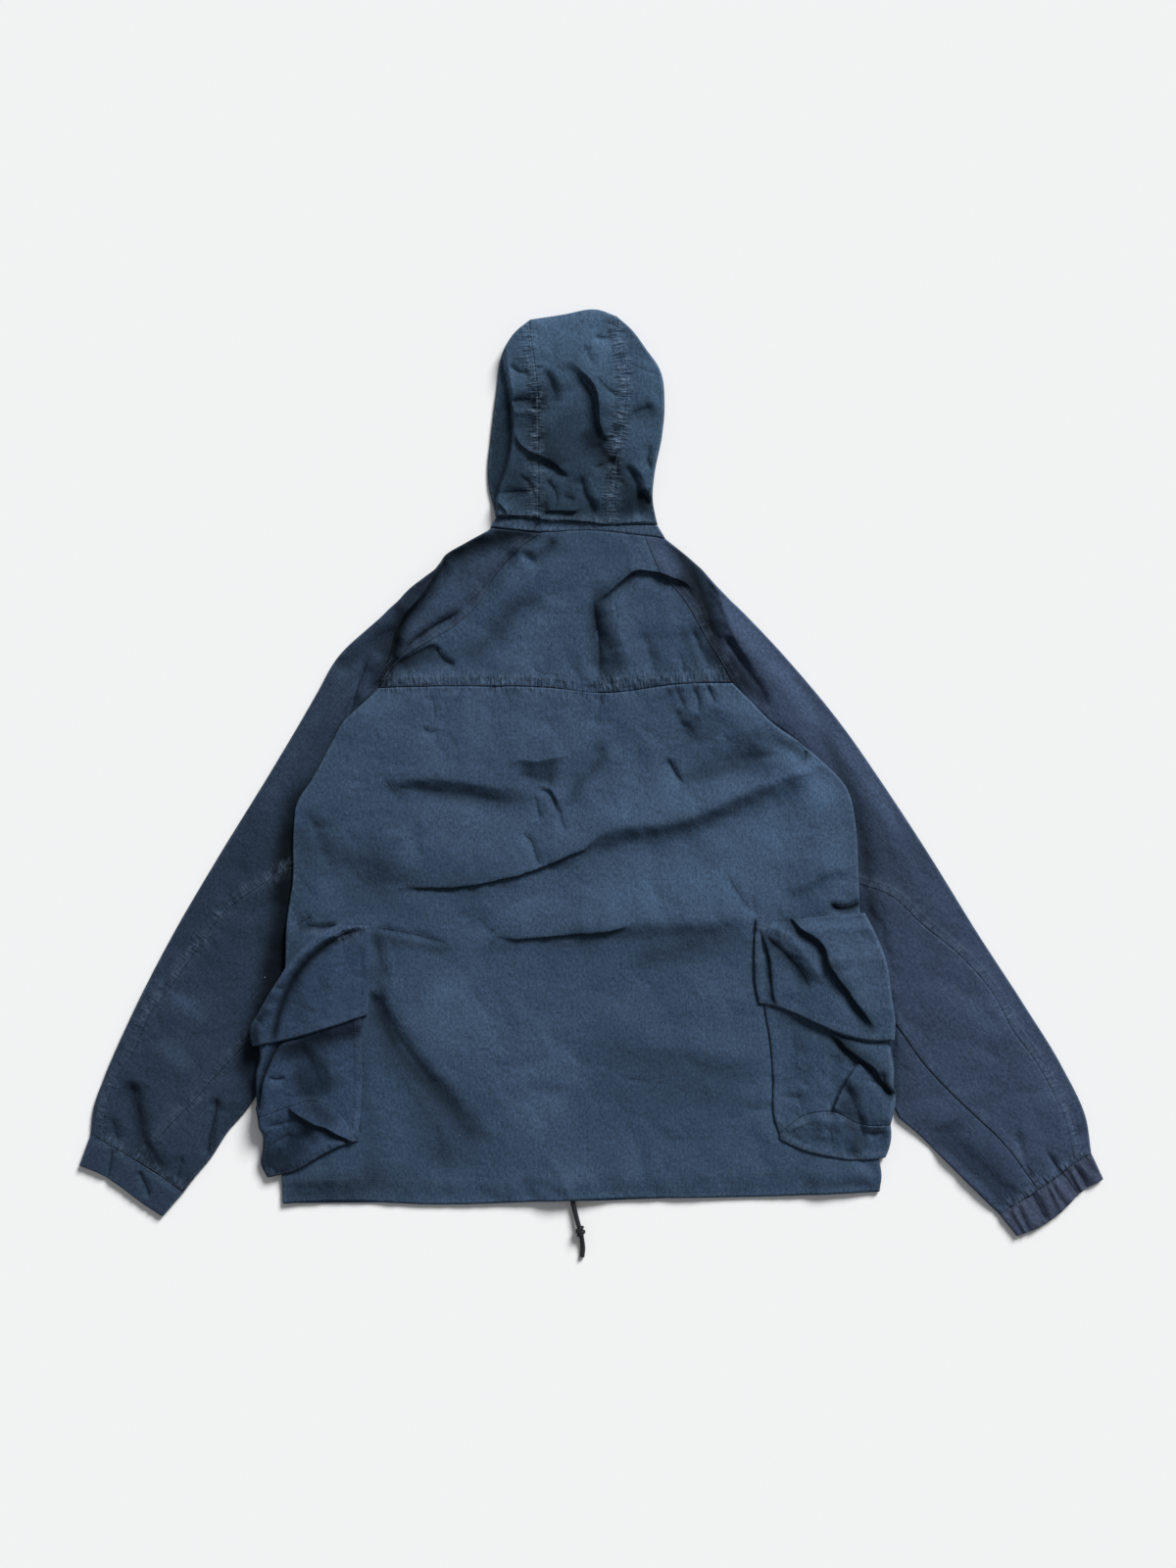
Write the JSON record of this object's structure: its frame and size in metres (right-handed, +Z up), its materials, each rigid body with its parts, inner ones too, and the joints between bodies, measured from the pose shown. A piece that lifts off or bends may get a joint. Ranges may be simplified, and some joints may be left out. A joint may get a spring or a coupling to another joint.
{
  "type": "hooded parka laid flat",
  "caption": "Hooded cotton parka lying flat, back up: raglan sleeves with gathered cuffs, back yoke, bellows pockets with flaps, hem cord.",
  "frame": {"origin": "middle of the garment's plan box, on the surface that it lies on; the hem cord isn't counted", "axes": "+Z up from the surface to the back of the garment, +X to the right and +Y towards the hood as it is seen from above"},
  "size_m": [1.204, 1.1134, 0.0312],
  "materials": {
    "cloth": "faded navy cotton, matte",
    "cord": "black woven cord, matte"
  },
  "bodies": {
    "root": {"back_body": "cloth", "back_yoke": "cloth", "cuff_left": "cloth", "cuff_right": "cloth", "drawcord_knot": "cord", "front_left": "cloth", "front_placket": "cloth", "front_right": "cloth", "hem_drawcord": "cord", "hood_centre": "cloth", "hood_left": "cloth", "hood_right": "cloth", "neck_band": "cloth", "pocket_left_bag": "cloth", "pocket_left_flap": "cloth", "pocket_left_gusset": "cloth", "pocket_right_bag": "cloth", "pocket_right_flap": "cloth", "pocket_right_gusset": "cloth", "sleeve_left_elbow": "cloth", "sleeve_left_front": "cloth", "sleeve_left_under": "cloth", "sleeve_left_upper": "cloth", "sleeve_right_elbow": "cloth", "sleeve_right_front": "cloth", "sleeve_right_under": "cloth", "sleeve_right_upper": "cloth"}
  },
  "joints": []
}
